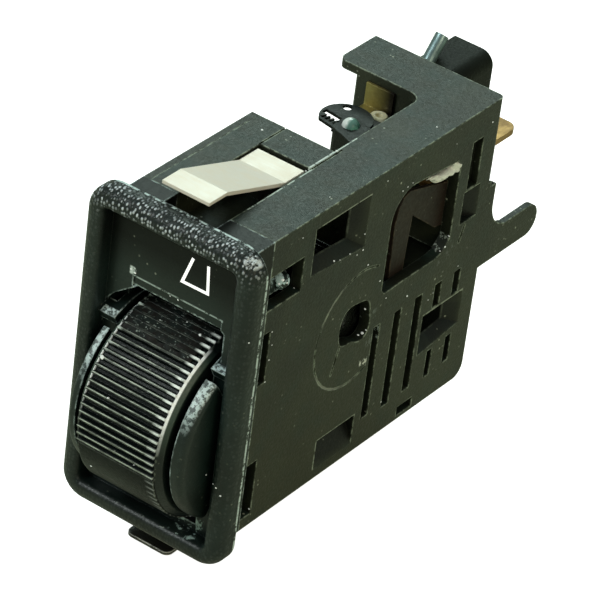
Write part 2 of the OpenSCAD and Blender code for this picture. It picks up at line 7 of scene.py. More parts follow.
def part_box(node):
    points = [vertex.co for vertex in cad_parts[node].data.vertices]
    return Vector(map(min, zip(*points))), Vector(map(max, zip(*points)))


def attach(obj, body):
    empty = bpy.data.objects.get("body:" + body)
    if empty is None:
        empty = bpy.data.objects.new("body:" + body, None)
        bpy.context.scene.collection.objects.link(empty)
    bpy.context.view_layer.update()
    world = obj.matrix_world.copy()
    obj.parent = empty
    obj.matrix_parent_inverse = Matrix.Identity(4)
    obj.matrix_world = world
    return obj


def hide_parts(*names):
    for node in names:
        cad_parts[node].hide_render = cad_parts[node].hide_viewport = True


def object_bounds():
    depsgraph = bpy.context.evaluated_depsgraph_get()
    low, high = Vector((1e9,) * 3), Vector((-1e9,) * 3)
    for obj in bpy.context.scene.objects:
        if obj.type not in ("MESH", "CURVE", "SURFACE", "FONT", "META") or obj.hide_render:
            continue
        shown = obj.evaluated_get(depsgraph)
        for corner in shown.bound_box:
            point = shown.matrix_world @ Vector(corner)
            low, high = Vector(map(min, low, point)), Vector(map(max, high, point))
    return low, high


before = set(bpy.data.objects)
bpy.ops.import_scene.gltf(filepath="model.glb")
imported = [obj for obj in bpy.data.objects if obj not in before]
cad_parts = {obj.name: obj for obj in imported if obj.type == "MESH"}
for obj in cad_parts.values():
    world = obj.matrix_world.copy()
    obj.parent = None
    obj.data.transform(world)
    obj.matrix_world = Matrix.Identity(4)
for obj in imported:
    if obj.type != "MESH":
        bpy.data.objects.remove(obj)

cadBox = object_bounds()
mm = 0.001
scene = bpy.context.scene
scene.view_settings.view_transform = "Standard"
print("frame loaded")

# camera, as fitted to the photo
view = {
    "azimuth": 32.517,  # degrees round the object, 0 looks straight at the bezel
    "elevation": 33.571,
    "roll": 7.629,
    "place": (227.46, -329.38, 278.38),  # mm
    "lens": 241.4,
    "sensor": 36,
    "nearest": 10,  # mm
    "picture": 600,  # pixels on each side
}


def aimCamera(v):
    az, el, roll = radians(v["azimuth"]), radians(v["elevation"]), radians(v["roll"])
    forward = Vector((-sin(az) * cos(el), cos(az) * cos(el), -sin(el)))
    level = forward.cross(Vector((0, 0, 1))).normalized()
    rise = level.cross(forward)
    right = level * cos(roll) + rise * sin(roll)
    up = rise * cos(roll) - level * sin(roll)
    data = bpy.data.cameras.new("camera")
    data.lens = v["lens"]
    data.sensor_width = v["sensor"]
    data.clip_start = v["nearest"] * mm
    camera = bpy.data.objects.new("camera", data)
    scene.collection.objects.link(camera)
    turn = Matrix((right, up, -forward)).transposed().to_4x4()
    camera.matrix_world = Matrix.Translation(Vector(v["place"]) * mm) @ turn
    scene.camera = camera


aimCamera(view)


def rayThrough(v, column, row):
    # start and way of the camera's ray through a pixel of the picture
    turn = scene.camera.matrix_world.to_3x3()
    spread = v["sensor"] / v["lens"] / v["picture"]
    middle = v["picture"] / 2
    way = turn @ Vector(((column - middle) * spread, (middle - row) * spread, -1))
    return scene.camera.matrix_world.translation, way.normalized()


def addNode(tree, kind, inputs=(), out=0, **settings):
    # adds a node with its settings and links, and gives back one output, or all for None
    node = tree.nodes.new("ShaderNode" + kind)
    for key, value in settings.items():
        setattr(node, key, value)
    if not isinstance(inputs, dict):
        inputs = dict(enumerate(inputs))
    for key, value in inputs.items():
        if isinstance(value, bpy.types.NodeSocket):
            tree.links.new(value, node.inputs[key])
        else:
            node.inputs[key].default_value = value
    return node.outputs if out is None else node.outputs[out]


def hexColour(code):
    # sRGB hex to linear
    parts = [int(code[i : i + 2], 16) / 255 for i in (1, 3, 5)]
    return tuple(c / 12.92 if c <= 0.04045 else ((c + 0.055) / 1.055) ** 2.4 for c in parts) + (1.0,)


def overlap(tree, *masks):
    # 1 only where every mask is 1
    both = masks[0]
    for mask in masks[1:]:
        both = addNode(tree, "Math", [both, mask], operation="MULTIPLY")
    return both


def paintOver(tree, skin, tone, *masks):
    # lays a tone over the skin where every mask is 1
    inputs = {0: overlap(tree, *masks), 6: skin, 7: hexColour(tone)}
    return addNode(tree, "Mix", inputs, out=2, data_type="RGBA")


# a pale room with softboxes above and behind, front left, and low right
lighting = {
    "strength": 0.3,
    "high": "#dff3ea",
    "level": "#cdd1c1",
    "low": "#b3b398",
    "aim": (0, 0.02, 0),
    "lamps": [
        # name, place and size in m, watts, colour
        ("softboxTop", (-0.35, 0.55, 0.62), 0.45, 3.1, "#dcf4ea"),
        ("softboxFront", (-0.5, -0.7, 0.75), 0.34, 4.6, "#f1faf8"),
        ("softboxRight", (0.75, -0.25, 0.45), 0.4, 1.7, "#fff0cf"),
    ],
}


def lightScene(spec):
    world = bpy.data.worlds.new("paleRoom")
    scene.world = world
    world.use_nodes = True
    tree = world.node_tree
    tree.nodes.clear()
    rays = addNode(tree, "LightPath", out=None)
    seen = addNode(tree, "Math", [rays["Is Camera Ray"], rays["Is Transmission Ray"]], operation="MAXIMUM")
    # cool light from above, olive light from below
    way = addNode(tree, "TexCoord", out="Generated")
    rise = addNode(tree, "SeparateXYZ", [way], out="Z")
    above = addNode(tree, "MapRange", [rise, 0.0, 0.7])
    below = addNode(tree, "MapRange", [rise, 0.0, -0.5])
    sky = paintOver(tree, hexColour(spec["level"]), spec["high"], above)
    sky = paintOver(tree, sky, spec["low"], below)
    dim = addNode(tree, "Background", [sky, spec["strength"]])
    white = addNode(tree, "Background", [(1, 1, 1, 1), 1.0])
    both = addNode(tree, "MixShader", [seen, dim, white])
    addNode(tree, "OutputWorld", {"Surface": both}, out=None)
    for name, place, size, watts, colour in spec["lamps"]:
        data = bpy.data.lights.new(name, "AREA")
        data.shape = "DISK"
        data.size = size
        data.energy = watts
        data.color = hexColour(colour)[:3]
        lamp = bpy.data.objects.new(name, data)
        scene.collection.objects.link(lamp)
        lamp.location = place
        lamp.rotation_euler = (Vector(spec["aim"]) - Vector(place)).to_track_quat("-Z", "Y").to_euler()


lightScene(lighting)

floorLook = {
    "half": 3,  # half of its side, m
    "gap": 0.5,  # below the part, mm
    "paint": "#f4f4f2",
    "paintGlow": 0.97,
    "bounce": "#c8ccb2",  # the olive light that it throws up at the part
    "bounceTint": "#ced4bd",
    "bounceGlow": 0.12,
}


def makeFloor(spec):
    mesh = bpy.data.meshes.new("floor")
    bm = bmesh.new()
    bmesh.ops.create_grid(bm, x_segments=1, y_segments=1, size=spec["half"])
    bm.to_mesh(mesh)
    bm.free()
    floor = bpy.data.objects.new("floor", mesh)
    scene.collection.objects.link(floor)
    floor.location = (0, 0, cadBox[0][2] - spec["gap"] * mm)
    material = bpy.data.materials.new("paleFloor")
    material.use_nodes = True
    tree = material.node_tree
    tree.nodes.clear()
    camera = addNode(tree, "LightPath", out="Is Camera Ray")
    paint = addNode(tree, "BsdfDiffuse", {"Color": hexColour(spec["paint"])})
    glow = addNode(tree, "Emission", [(1, 1, 1, 1), spec["paintGlow"]])
    bounce = addNode(tree, "BsdfDiffuse", {"Color": hexColour(spec["bounce"])})
    bounceGlow = addNode(tree, "Emission", [hexColour(spec["bounceTint"]), spec["bounceGlow"]])
    seen = addNode(tree, "AddShader", [paint, glow])
    warm = addNode(tree, "AddShader", [bounce, bounceGlow])
    both = addNode(tree, "MixShader", [camera, warm, seen])
    addNode(tree, "OutputMaterial", {"Surface": both}, out=None)
    mesh.materials.append(material)


makeFloor(floorLook)
print("camera, floor and light ready")


# materials; a pattern's scale comes from its size in mm
def patternScale(size):
    return 1 / (size * mm)


def startMaterial(name):
    material = bpy.data.materials.new(name)
    material.use_nodes = True
    tree = material.node_tree
    tree.nodes.clear()
    return material, tree, addNode(tree, "TexCoord", out="Object")


def endMaterial(tree, inputs):
    shader = addNode(tree, "BsdfPrincipled", inputs)
    addNode(tree, "OutputMaterial", {"Surface": shader}, out=None)


def millimetres(tree, place):
    # X, Y and Z of a place in mm
    scaled = addNode(tree, "VectorMath", {0: place, "Scale": 1 / mm}, operation="SCALE")
    return addNode(tree, "SeparateXYZ", [scaled], out=None)


def roundAxis(tree, place, axis):
    # distance from an axis along X, and the offsets from it, in mm
    moved = addNode(tree, "VectorMath", [place, (0.0, -axis[0] * mm, -axis[1] * mm)], operation="ADD")
    flat = addNode(tree, "VectorMath", [moved, (0.0, 1 / mm, 1 / mm)], operation="MULTIPLY")
    reach = addNode(tree, "VectorMath", [flat], out="Value", operation="LENGTH")
    return reach, addNode(tree, "SeparateXYZ", [flat], out=None)


def facing(tree, axis):
    normal = addNode(tree, "NewGeometry", out="Normal")
    return addNode(tree, "SeparateXYZ", [normal], out=axis)


def convexEdges(tree, reach):
    # 1 on outside edges, where the skin is rubbed
    inputs = {"Distance": reach * mm}
    inner = addNode(tree, "AmbientOcclusion", inputs, out="AO", samples=6, inside=True, only_local=True)
    return addNode(tree, "MapRange", [inner, 0.9, 0.62])


def hollows(tree, reach):
    # 1 deep in pockets and inside corners, where little light comes; it sets where shade is painted
    outer = addNode(tree, "AmbientOcclusion", {"Distance": reach * mm}, out="AO", samples=6)
    return addNode(tree, "MapRange", [outer, 0.8, 0.2])


def within(tree, parts, low, high, soft):
    # 1 inside a box given in mm, fading over the soft width
    sides = []
    for axis, start, end in zip("XYZ", low, high):
        sides.append(addNode(tree, "MapRange", [parts[axis], start - soft, start + soft]))
        sides.append(addNode(tree, "MapRange", [parts[axis], end + soft, end - soft]))
    return overlap(tree, *sides)


def spots(tree, parts, skin, breaks, marks):
    # single marks that the photo shows, each in its own box: rubbed spots, painted highlights and glints
    # along edges, and painted shade in pockets
    for low, high, tone, amount, broken, soft in marks:
        masks = [within(tree, parts, low, high, soft), amount]
        if broken:
            masks.append(addNode(tree, "MapRange", [breaks, broken, broken + 0.06]))
        skin = paintOver(tree, skin, tone, *masks)
    return skin


# low corner, high corner, tone, amount, threshold of the breaks (0 for none), softness in mm
bezelMarks = [
    # rubbed bright spot at the left end of the slot's top edge
    ((-6.7, -0.9, 11.5), (-5.8, -0.4, 12.6), "#dfe9e6", 0.9, 0.5, 0.1),
    # painted light: the lower band of the panel, lit below the rim's shadow
    ((-5.0, -0.9, 12.0), (8.5, -0.3, 13.3), "#2c3d38", 0.55, 0, 1.1),
    # olive tint along the rim's left edge
    ((-13.0, -3.1, -20.0), (-12.1, -0.3, 19.0), "#6f7052", 0.3, 0, 0.3),
    # painted highlight on the rim's top right corner
    ((10.5, -2.4, 21.5), (12.5, -0.4, 23.1), "#eef4fa", 0.95, 0.45, 0.15),
    # painted highlight along the slot's top edge
    ((-6.2, -0.9, 11.2), (7.5, -0.1, 11.5), "#cddcd8", 0.9, 0.4, 0.1),
    # painted highlight along a line above the wheel
    ((-6.5, -0.5, 9.7), (7.5, -0.1, 10.3), "#b9cbc6", 0.7, 0.5, 0.1),
    # painted glint at the slot's lower right corner
    ((4.3, -2.9, -20.3), (8.2, -0.4, -18.0), "#b7cfca", 0.8, 0.54, 0.1),
    # pale lines along the rim's bottom edge and its right side
    ((-9.9, -3.1, -20.3), (9.2, -2.5, -19.2), "#cfdcd2", 0.8, 0.58, 0.1),
    ((9.3, -2.5, -13.5), (10.4, -0.8, -10.5), "#b7cfca", 0.8, 0.56, 0.1),
    ((9.4, -2.9, 2.0), (10.4, -0.7, 16.0), "#9fb0a6", 0.6, 0.62, 0.1),
    # painted glints on the snap nub in the side notch
    ((8.4, 5.5, 11.0), (10.2, 11.0, 15.5), "#cfeaf2", 0.95, 0.5, 0.1),
]

rimGrain = {
    "padMm": 0.4444,  # from one pad to the next
    "padShape": (1.0, 0.72, 0.72),
    "waver": 0.35,  # mm
    "creaseShadeTone": "#0a1211",
    "padGlint": "#e2e8f0",
    "rimShadowOnPanel": "#0e0b0a",
    "guardGlint": "#dcedef",
    "cheek": "#0c100d",
}


def leather(tree, place, parts, look, breaks, rubbedAndSheenTone):
    # small pads between creases on the front of the rim, in rows, with painted glints on the pads and
    # painted shade in the creases, brightest along its top; a painted highlight runs along its rear edge
    spec = rimGrain
    bent = addNode(
        tree, "TexNoise", {"Vector": place, "Scale": patternScale(1.111), "Detail": 2.0}, out="Color"
    )
    push = addNode(tree, "VectorMath", {0: bent, "Scale": spec["waver"] * mm}, operation="SCALE")
    wavy = addNode(tree, "VectorMath", [place, push], operation="ADD")
    rows = addNode(tree, "Mapping", {"Vector": wavy, "Scale": spec["padShape"]})
    inputs = {"Vector": rows, "Scale": patternScale(spec["padMm"]), "Randomness": 0.65}
    cells = addNode(tree, "TexVoronoi", inputs, out=None, feature="F1")
    spread = cells["Distance"]
    chosen = addNode(tree, "SeparateColor", [cells["Color"]], out="Red")
    sideways = addNode(tree, "Math", [parts["X"]], operation="ABSOLUTE")
    upright = addNode(tree, "Math", [parts["Z"]], operation="ABSOLUTE")
    posts = addNode(tree, "MapRange", [sideways, 9.8, 10.4])
    bars = addNode(tree, "MapRange", [upright, 20.0, 20.6])
    sides = addNode(tree, "Math", [posts, bars], operation="MAXIMUM")
    rim = overlap(tree, sides, addNode(tree, "MapRange", [parts["Y"], 0.0, -0.5]))
    bold = overlap(tree, rim, addNode(tree, "MapRange", [parts["Z"], 19.0, 21.6, 0.16, 1.0]))
    pads = overlap(tree, addNode(tree, "MapRange", [spread, 0.6, 0.15]), bold, 0.85)
    fine = overlap(tree, look["height"], 0.35)
    height = addNode(tree, "Math", [fine, pads], operation="ADD", use_clamp=True)
    # painted shade in the creases between the pads
    creaseShade = addNode(tree, "MapRange", [spread, 0.3, 0.45, 0.0, 0.6])
    skin = paintOver(tree, look["skin"], spec["creaseShadeTone"], bold, creaseShade)
    # painted glints on the pads, brightest on the front
    lit = [
        addNode(tree, "MapRange", [spread, 0.42, 0.29]),
        addNode(tree, "MapRange", [parts["Y"], -0.4, -1.2, 0.45, 1.0]),
        addNode(tree, "MapRange", [chosen, 0.0, 0.6, 0.15, 1.0]),
        addNode(tree, "MapRange", [breaks, 0.4, 0.5, 0.4, 1.0]),
    ]
    skin = paintOver(tree, skin, spec["padGlint"], bold, bold, *lit)
    # painted shadow of the rim on the recessed panel, darker at the top
    inner = addNode(tree, "Math", [1.0, rim], operation="SUBTRACT")
    rimShadow = overlap(tree, addNode(tree, "MapRange", [parts["Z"], 11.5, 16.5]), inner)
    skin = paintOver(tree, skin, spec["rimShadowOnPanel"], rimShadow, 0.72)
    # painted glints on the tops of the guards and cheeks, broken into flecks
    inside = overlap(
        tree,
        addNode(tree, "MapRange", [sideways, 9.7, 9.6]),
        addNode(tree, "MapRange", [parts["Y"], -0.75, -0.85]),
    )
    inputs = {"Vector": place, "Scale": patternScale(0.6667), "Detail": 3.0, "Roughness": 0.65}
    glintFlecks = addNode(tree, "TexNoise", inputs)
    tops = [
        addNode(tree, "MapRange", [facing(tree, "Z"), 0.35, 0.6]),
        addNode(tree, "MapRange", [parts["Z"], -12.2, -10.5]),
        addNode(tree, "MapRange", [parts["Z"], 19.5, 19.0]),
        addNode(tree, "MapRange", [glintFlecks, 0.45, 0.55, 0.12, 1.0]),
    ]
    skin = paintOver(tree, skin, spec["guardGlint"], inside, *tops)
    # painted shade on the cheeks' rounded fronts, darker lower down
    cheek = overlap(tree, inside, addNode(tree, "MapRange", [parts["Z"], -9.5, -12.5]))
    skin = paintOver(tree, skin, spec["cheek"], cheek, 0.45)
    # painted highlight along the rear edge of the rim, in the pale edge tone
    beside = addNode(tree, "MapRange", [sideways, 12.55, 12.68])
    above = addNode(tree, "MapRange", [upright, 22.75, 22.88])
    edge = [
        addNode(tree, "Math", [beside, above], operation="MAXIMUM"),
        addNode(tree, "MapRange", [parts["Y"], -0.42, -0.3]),
        addNode(tree, "MapRange", [parts["Y"], 0.3, 0.1]),
        addNode(tree, "MapRange", [breaks, 0.47, 0.53]),
    ]
    skin = paintOver(tree, skin, rubbedAndSheenTone, *edge)
    # no wear on the cheeks' fronts, nor on the thin web behind the left guard
    web = within(tree, parts, (-10.3, 0.05, 4.0), (-9.7, 2.2, 6.5), 0.05)
    spared = addNode(tree, "Math", [web, overlap(tree, cheek, 0.9)], operation="MAXIMUM")
    return {
        "skin": spots(tree, parts, skin, breaks, bezelMarks),
        "height": height,
        "keep": addNode(tree, "Math", [1.0, spared], operation="SUBTRACT"),
        "glance": addNode(tree, "MapRange", [rimShadow, 0.0, 1.0, 1.0, 0.4]),
    }


wheelAxis = (4.03, -6.05)  # Y and Z, mm
rotorAxis = (25.22, -0.68)

ribTonesAndHighlights = {
    "firstCrest": 1.32261,  # radians, from the top round to the front
    "pitch": 0.0785398,
    "gap": "#060b0c",
    "smooth": "#0b0e0c",
    "crest": "#d3ddcf",
    "rightEndGlint": "#e9f2ea",
    "leftEndGlint": "#e3efe9",
    "litBevel": "#48594f",
    "bevelEdgeHighlight": "#ffffff",
}


def ribs(tree, place, parts, look, breaks, rubbedAndSheenTone):
    # painted highlights along the crests of the ribs, dark gaps, and a stretch at the top without them,
    # where the fill lies between the ribs
    spec = ribTonesAndHighlights
    reach, offset = roundAxis(tree, place, wheelAxis)
    ahead = addNode(tree, "Math", [offset["Y"], -1.0], operation="MULTIPLY")
    turn = addNode(tree, "Math", [ahead, offset["Z"]], operation="ARCTAN2")
    sideways = parts["X"]
    across = addNode(tree, "Math", [sideways], operation="ABSOLUTE")
    shifted = addNode(tree, "Math", [turn, spec["firstCrest"]], operation="ADD")
    pitches = addNode(tree, "Math", [shifted, spec["pitch"]], operation="DIVIDE")
    half = addNode(tree, "Math", [pitches, 0.5], operation="ADD")
    phase = addNode(tree, "Math", [half], operation="FRACT")
    # the skin of the band is dark, with a thin painted highlight along each crest
    band = overlap(
        tree,
        addNode(tree, "MapRange", [across, 5.95, 5.85]),
        addNode(tree, "MapRange", [reach, 12.0, 12.5]),
    )
    skin = paintOver(tree, look["skin"], spec["gap"], band, 0.5)
    smooth = overlap(tree, band, addNode(tree, "MapRange", [turn, 1.77, 1.8]))
    skin = paintOver(tree, skin, spec["smooth"], smooth, 0.5)
    drawn = addNode(tree, "Mapping", {"Vector": place, "Scale": (0.35, 1.0, 1.0)})
    inputs = {"Vector": drawn, "Scale": patternScale(0.9091), "Detail": 3.0, "Roughness": 0.6}
    streaks = addNode(tree, "TexNoise", inputs)
    front = addNode(tree, "MapRange", [turn, 0.5, 0.62])
    rear = addNode(tree, "MapRange", [turn, -0.5, -0.7])
    offLine = addNode(tree, "Math", [phase, 0.43], operation="SUBTRACT")
    offLine = addNode(tree, "Math", [offLine], operation="ABSOLUTE")
    high = addNode(tree, "MapRange", [reach, 13.1, 13.3])
    line = [
        addNode(tree, "Math", [front, rear], operation="MAXIMUM"),
        addNode(tree, "MapRange", [offLine, 0.09, 0.045]),
        addNode(tree, "MapRange", [streaks, 0.38, 0.56, 0.25, 1.0]),
        addNode(tree, "MapRange", [turn, 1.79, 1.76]),
    ]
    skin = paintOver(tree, skin, spec["crest"], band, high, 0.95, *line)
    # painted glints on the rib ends, as bright lumps
    offCrest = addNode(tree, "Math", [phase, 0.5], operation="SUBTRACT")
    offCrest = addNode(tree, "Math", [offCrest], operation="ABSOLUTE")
    lump = addNode(tree, "MapRange", [offCrest, 0.2, 0.12])
    right = overlap(
        tree,
        lump,
        high,
        addNode(tree, "MapRange", [sideways, 4.4, 5.2]),
        addNode(tree, "MapRange", [turn, 0.12, 0.2]),
        addNode(tree, "MapRange", [turn, 1.6, 1.0, 0.15, 1.0]),
    )
    glintBreaks = addNode(tree, "MapRange", [breaks, 0.36, 0.5, 0.4, 1.0])
    skin = paintOver(tree, skin, spec["rightEndGlint"], right, glintBreaks)
    left = [
        addNode(tree, "MapRange", [sideways, -5.0, -5.6]),
        addNode(tree, "MapRange", [turn, 0.95, 0.6]),
        addNode(tree, "MapRange", [breaks, 0.46, 0.54]),
    ]
    skin = paintOver(tree, skin, spec["leftEndGlint"], lump, *left)
    # painted highlight on the edge between the band and the end bevel, and painted light on the greenish
    # bevel beside it
    litBevel = overlap(
        tree,
        addNode(tree, "MapRange", [across, 5.82, 5.86]),
        addNode(tree, "MapRange", [reach, 12.0, 12.3]),
        addNode(tree, "MapRange", [turn, 1.5, 1.1]),
        addNode(tree, "MapRange", [turn, 0.3, 0.45]),
    )
    skin = paintOver(tree, skin, spec["litBevel"], litBevel, 0.75)
    edge = overlap(
        tree,
        litBevel,
        addNode(tree, "MapRange", [across, 6.18, 6.1]),
        addNode(tree, "MapRange", [reach, 12.75, 12.9]),
    )
    glintBreaks = addNode(tree, "MapRange", [breaks, 0.34, 0.46, 0.6, 1.0])
    skin = paintOver(tree, skin, spec["bevelEdgeHighlight"], edge, glintBreaks)
    bright = addNode(tree, "Math", [right, edge], operation="MAXIMUM")
    return {
        "skin": skin,
        "glance": addNode(tree, "MapRange", [smooth, 0.0, 1.0, 1.0, 0.25]),
        "glint": overlap(tree, bright, addNode(tree, "MapRange", [breaks, 0.36, 0.48, 0.4, 1.0])),
    }


sideMarks = [
    # painted highlight along the top edge of the upper scoop
    ((9.8, 13.4, 19.15), (10.2, 24.9, 19.32), "#c9cfc0", 0.85, 0.4, 0.1),
    # pale line on the side further back
    ((9.8, 41.2, -6.9), (10.2, 50.4, -6.5), "#b9c2b0", 0.7, 0.4, 0.1),
    # painted highlights inside the hole over the rotor
    ((8.2, 28.3, -5.2), (9.9, 31.2, -3.4), "#cfe0dc", 0.9, 0.48, 0.1),
    ((8.2, 28.4, -1.2), (9.9, 29.8, 0.2), "#cfe0dc", 0.8, 0.5, 0.1),
    # pale spot on the side below the hole
    ((9.7, 27.5, -8.3), (10.2, 29.1, -6.9), "#f0f3ea", 0.9, 0.5, 0.1),
    # painted highlights on the lower rear corner inside the rear window
    ((8.3, 42.8, 0.4), (9.9, 46.6, 4.0), "#c3cfca", 0.7, 0.55, 0.1),
    # pale line along the lower pocket's top edge
    ((9.7, 20.0, -15.9), (10.2, 28.2, -15.4), "#b9c2b0", 0.7, 0.42, 0.1),
    # painted shade in the upper scoop, in the other pockets and behind the windows
    ((8.2, 12.5, 14.6), (9.9, 24.2, 19.6), "#040605", 0.93, 0, 0.8),
    ((8.2, 40.5, -9.5), (9.86, 47.5, -6.6), "#050706", 0.6, 0, 0.8),
    ((8.2, 20.4, -20.3), (9.9, 28.2, -15.6), "#080a08", 0.85, 0, 0.4),
    ((7.5, 47.6, 3.6), (9.8, 52.6, 9.6), "#0c0f0c", 0.75, 0, 0.15),
    ((7.5, 44.5, -16.6), (9.8, 53.2, -8.6), "#0b0d0b", 0.6, 0, 0.15),
    # painted light on the front edge of the lower pocket
    ((9.7, 19.8, -20.0), (10.2, 20.15, -15.5), "#a3ad9e", 0.75, 0.4, 0.05),
    # painted highlight along the pocket's right edge on top
    ((3.15, 8.0, 21.0), (3.4, 21.0, 21.5), "#d4e2dc", 0.95, 0.42, 0.04),
    # rubbed, and a painted highlight, along the spine's left edge
    ((2.7, 20.0, 21.0), (2.95, 31.0, 21.5), "#dfeae4", 0.95, 0.4, 0.04),
]

sideTonesAndShade = {
    "pocket": "#0d0f0c",
    "topLightTint": "#22342f",
    "lowFloorSheen": "#3d3f2e",
    "sidePatch": "#27332a",
    "ring": "#e4e8dd",
    "ringMarks": [
        # low corner, high corner, amount
        ((9.7, 17.5, -9.0), (10.2, 26.5, -4.5), 0.95),
        ((9.7, 17.0, 3.2), (10.2, 21.8, 7.0), 0.75),
    ],
}


def openSide(tree, place, parts, look, breaks, rubbedAndSheenTone):
    # painted shade darkens the walls of the windows and pockets inwards, upward faces get a painted cool
    # tint of light in patches, and the side is painted paler low down, a painted reflection of the floor
    spec = sideTonesAndShade
    # painted shade inside the wall's thickness, in the windows and pockets
    pocket = overlap(
        tree,
        addNode(tree, "MapRange", [parts["X"], 8.2, 8.4]),
        addNode(tree, "MapRange", [parts["X"], 9.92, 8.6]),
        addNode(tree, "MapRange", [parts["Z"], 21.2, 20.9]),
    )
    skin = paintOver(tree, look["skin"], spec["pocket"], pocket, 0.72)
    inputs = {"Vector": place, "Scale": patternScale(4.762), "Detail": 4.0, "Roughness": 0.65}
    patches = addNode(tree, "TexNoise", inputs)
    # painted cool tint of the light from above on upward faces, in patches
    onTop = [
        addNode(tree, "MapRange", [facing(tree, "Z"), 0.6, 0.9]),
        addNode(tree, "MapRange", [patches, 0.42, 0.62, 0.0, 0.7]),
    ]
    skin = paintOver(tree, skin, spec["topLightTint"], *onTop)
    # painted reflection of the floor: the side paler low down
    outward = overlap(
        tree,
        addNode(tree, "MapRange", [facing(tree, "X"), 0.6, 0.9]),
        addNode(tree, "MapRange", [parts["X"], 9.6, 9.9]),
    )
    low = addNode(tree, "MapRange", [parts["Z"], 6.0, -14.0, 0.0, 0.5])
    skin = paintOver(tree, skin, spec["lowFloorSheen"], outward, low)
    green = addNode(tree, "MapRange", [patches, 0.5, 0.64, 0.0, 0.45])
    skin = paintOver(tree, skin, spec["sidePatch"], outward, green)
    # the fine ring over the rotor shows white at its lower left
    reach, offset = roundAxis(tree, place, rotorAxis)
    ring = overlap(
        tree,
        addNode(tree, "MapRange", [reach, 8.26, 8.31]),
        addNode(tree, "MapRange", [reach, 8.6, 8.55]),
    )
    for lowCorner, highCorner, amount in spec["ringMarks"]:
        here = within(tree, parts, lowCorner, highCorner, 0.6)
        skin = paintOver(tree, skin, spec["ring"], ring, amount, here)
    return {
        "skin": spots(tree, parts, skin, breaks, sideMarks),
        "keep": addNode(tree, "Math", [1.0, overlap(tree, pocket, 0.85)], operation="SUBTRACT"),
    }


overlays = {"leather": leather, "ribs": ribs, "openSide": openSide}

mouldings = {
    # black glass-filled polyamide, injection moulded in a fine eroded mould: dull, faintly olive, its edges
    # rubbed grey; grainMm is the size of the grain, the amounts run from 0 to 1
    "housing": {
        "name": "mouldedPolyamide", "dark": "#1e221a", "light": "#2d3124", "rubbedAndSheenTone": "#b4c0ac",
        "grainMm": 0.22, "grain": 0.3, "rough": 0.46, "wear": 0.85, "dust": 0.8, "sink": 0.5,
        "shine": 0.36, "overlay": "openSide",
    },
    "side_cover": {
        "name": "mouldedCover", "dark": "#1f2219", "light": "#2a2d22", "rubbedAndSheenTone": "#97a08d",
        "grainMm": 0.22, "grain": 0.3, "rough": 0.46, "wear": 0.7, "dust": 0.5, "sink": 0.5,
        "shine": 0.36,
    },
    "connector_shroud": {
        "name": "mouldedShroud", "dark": "#10140f", "light": "#191e18", "rubbedAndSheenTone": "#5f685a",
        "grainMm": 0.2, "grain": 0.3, "rough": 0.5, "wear": 0.4, "dust": 0.3, "sink": 0.5,
        "shine": 0.14,
    },
    # the rim is etched like leather: small pads between fine creases, bold along the top, with painted
    # glints on the pads and painted shade in the creases
    "bezel": {
        "name": "leatherGrainedPolyamide", "dark": "#0f1b19", "light": "#192725", "rubbedAndSheenTone": "#d5e6e6",
        "grainMm": 0.2, "grain": 0.25, "rough": 0.4, "wear": 0.9, "dust": 0.4, "sink": 0.25,
        "shine": 0.45, "overlay": "leather",
    },
    # the wheel and the rotor are the same material from polished moulds: their tops catch more light
    "thumbwheel": {
        "name": "mouldedWheel", "dark": "#101716", "light": "#1a2322", "rubbedAndSheenTone": "#c2cabb",
        "grainMm": 0.18, "grain": 0.25, "rough": 0.38, "wear": 0.25, "dust": 0.35, "sink": 0.4,
        "shine": 0.4, "overlay": "ribs",
    },
    "rotor": {
        "name": "mouldedRotor", "dark": "#131614", "light": "#1f231f", "rubbedAndSheenTone": "#59605a",
        "grainMm": 0.3, "grain": 0.12, "rough": 0.2, "wear": 0.3, "dust": 0.2, "sink": 0.5,
        "shine": 0.42,
    },
    # the bulb's holder and its bracket come from polished moulds: near black and smooth
    "bulb_holder": {
        "name": "polishedHolder", "dark": "#080c0a", "light": "#0f1411", "rubbedAndSheenTone": "#a7b0a8",
        "grainMm": 0.5, "grain": 0.08, "rough": 0.3, "wear": 0.2, "dust": 0.2, "sink": 0.5,
        "shine": 0.1,
    },
    "holder_bracket": {
        "name": "polishedBracket", "dark": "#0d100f", "light": "#151917", "rubbedAndSheenTone": "#4b524d",
        "grainMm": 0.5, "grain": 0.1, "rough": 0.3, "wear": 0.3, "dust": 0.2, "sink": 0.5,
        "shine": 0.2,
    },
    # sheet of brown phenolic laminate, punched: cut edges a little paler
    "terminal_plate": {
        "name": "punchedLaminate", "dark": "#1f1815", "light": "#30261f", "rubbedAndSheenTone": "#6d604e",
        "grainMm": 0.3, "grain": 0.2, "rough": 0.5, "wear": 0.6, "dust": 0.5, "sink": 0.4,
        "shine": 0.25,
    },
}


